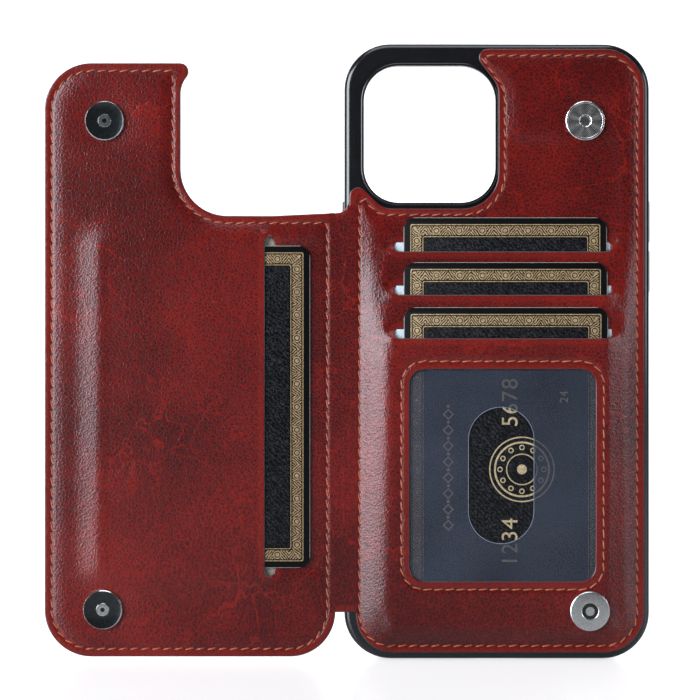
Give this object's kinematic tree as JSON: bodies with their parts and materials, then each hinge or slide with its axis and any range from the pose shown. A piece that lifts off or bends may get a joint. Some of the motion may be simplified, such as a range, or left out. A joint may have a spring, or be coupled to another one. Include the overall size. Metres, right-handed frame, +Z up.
{
  "type": "phone wallet case",
  "caption": "Moulded phone case with a stitched leather card wallet on its back, under a snap-down flap on a folding spine.",
  "frame": {"origin": "on the shell's bottom face, at mid width, in the plane that the phone's back lies against", "axes": "+Z up the long side of the case, -Y out of the wallet side, +Y out of the screen side; the open flap lies towards -X"},
  "size_m": [0.1618, 0.0149, 0.1642],
  "materials": {
    "shell_black": "glossy moulded TPU",
    "button_black": "satin moulded TPU",
    "wine_leather": "semi-gloss coated leather with a fine grain",
    "backing": "matt bonded leather",
    "board": "pressed fibre board",
    "lining": "smooth pale lining",
    "film": "clear soft vinyl",
    "thread": "waxed rust-coloured thread",
    "snap_silver": "polished plated steel, finely hatched",
    "snap_satin": "satin plated steel",
    "snap_dark": "dark polished plated steel",
    "magnet": "plated magnet",
    "rivet": "plain plated steel",
    "card_black": "dark printed card with a gold border"
  },
  "bodies": {
    "case": {"tpu_shell": "shell_black", "case_base_panel": "backing", "case_front_leather": "wine_leather", "slot_linings": "lining", "window_film": "film", "case_stitching": "thread", "window_stitching": "thread", "case_top_snap_cap": "snap_silver", "case_bottom_snap_cap": "snap_satin", "case_snap_magnets": "magnet", "case_snap_posts": "rivet", "case_snap_washers": "rivet"},
    "power_button": {"power_button": "button_black"},
    "volume_up_button": {"volume_up_button": "button_black"},
    "volume_down_button": {"volume_down_button": "button_black"},
    "spine": {"spine_outer_leather": "wine_leather", "spine_inner_leather": "wine_leather"},
    "flap": {"flap_outer_leather": "wine_leather", "flap_board": "board", "flap_inner_leather": "wine_leather", "flap_pocket_lining": "lining", "flap_stitching": "thread", "flap_snap_caps": "snap_dark", "flap_snap_plates": "magnet", "flap_snap_eyelets": "rivet", "flap_snap_washers": "rivet"},
    "card_top": {"card_top": "card_black"},
    "card_middle": {"card_middle": "card_black"},
    "card_bottom": {"card_bottom": "card_black"},
    "flap_card": {"flap_card": "card_black"}
  },
  "joints": [
    {"name": "spine_fold", "type": "hinge", "parent": "case", "child": "spine", "pos_m": [-0.0376, -0.00215, 0.06615], "axis": [0, 0, 1], "range_deg": [0, 90]},
    {"name": "flap_fold", "type": "hinge", "parent": "spine", "child": "flap", "pos_m": [-0.0431, -0.00215, 0.06615], "axis": [0, 0, 1], "range_deg": [0, 90]},
    {"name": "power_press", "type": "slide", "parent": "case", "child": "power_button", "axis": [1, 0, 0], "range_m": [0, 0.00035], "stiffness_N_per_m": 1200},
    {"name": "volume_up_press", "type": "slide", "parent": "case", "child": "volume_up_button", "axis": [-1, 0, 0], "range_m": [0, 0.00035], "stiffness_N_per_m": 1200},
    {"name": "volume_down_press", "type": "slide", "parent": "case", "child": "volume_down_button", "axis": [-1, 0, 0], "range_m": [0, 0.00035], "stiffness_N_per_m": 1200},
    {"name": "card_top_slide", "type": "slide", "parent": "case", "child": "card_top", "axis": [0, -0.0039, 1], "range_m": [0, 0.018]},
    {"name": "card_middle_slide", "type": "slide", "parent": "case", "child": "card_middle", "axis": [0, -0.009, 1], "range_m": [0, 0.018]},
    {"name": "card_bottom_slide", "type": "slide", "parent": "case", "child": "card_bottom", "axis": [0, -0.014, 0.9999], "range_m": [0, 0.018]},
    {"name": "flap_card_slide", "type": "slide", "parent": "flap", "child": "flap_card", "axis": [1, 0, 0], "range_m": [0, 0.006]}
  ],
  "couplings": [
    {"joint": "flap_fold", "follows": "spine_fold", "ratio": 1}
  ]
}
